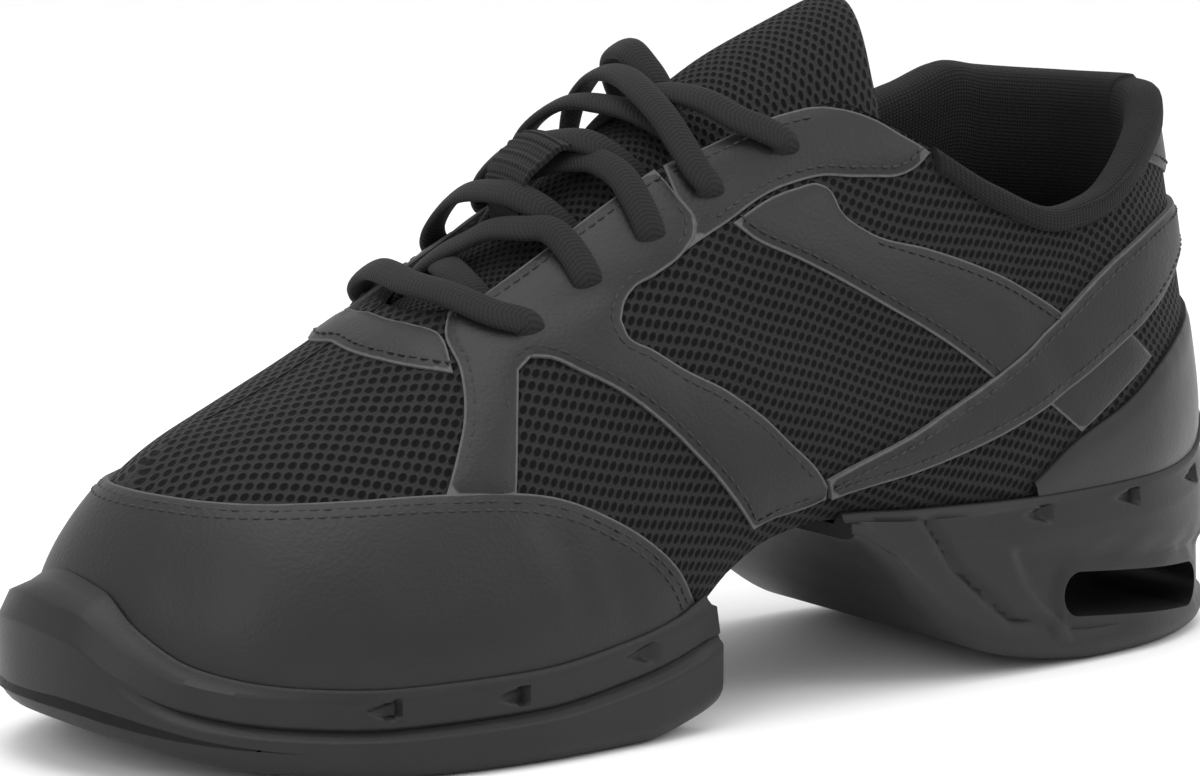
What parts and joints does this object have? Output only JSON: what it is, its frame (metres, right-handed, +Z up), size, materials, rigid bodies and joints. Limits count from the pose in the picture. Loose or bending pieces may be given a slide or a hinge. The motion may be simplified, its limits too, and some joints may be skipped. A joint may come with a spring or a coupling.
{
  "type": "dance sneaker",
  "caption": "Left split-sole dance sneaker: a low mesh and leather upper on a forefoot sole and a separate heel sole, with laces over a padded tongue.",
  "frame": {"origin": "the middle of the shoe's outline seen from above, on the floor", "axes": "+X toward the toe, +Y toward the wearer's left, the shoe's outer side, +Z up"},
  "size_m": [0.2844, 0.1054, 0.1389],
  "materials": {
    "mesh_cloth": "black air mesh with small holes",
    "lining": "black knitted lining",
    "leather": "black synthetic leather, fine grain, half matt",
    "webbing": "black woven lace and ribbed webbing",
    "sole_rubber": "black moulded rubber, satin, finely textured"
  },
  "bodies": {
    "root": {"upper": "mesh_cloth", "tongue": "mesh_cloth", "insole": "lining", "forefoot_sole": "sole_rubber", "heel_sole": "sole_rubber", "toe_cap": "leather", "vamp_bar": "leather", "front_eyestay_outer": "leather", "front_eyestay_inner": "leather", "rear_eyestay_outer": "leather", "rear_eyestay_inner": "leather", "quarter_band_outer": "leather", "quarter_band_inner": "leather", "sweep_band_outer": "leather", "sweep_band_inner": "leather", "heel_strap_outer": "leather", "heel_strap_inner": "leather", "heel_counter": "leather", "back_tab": "leather", "collar_binding_outer": "lining", "collar_binding_inner": "lining", "collar_lining": "lining", "lace_keeper": "webbing", "lace_bar": "webbing", "lace_crossing_1": "webbing", "lace_crossing_2": "webbing", "lace_crossing_3": "webbing", "lace_crossing_4": "webbing"}
  },
  "joints": []
}
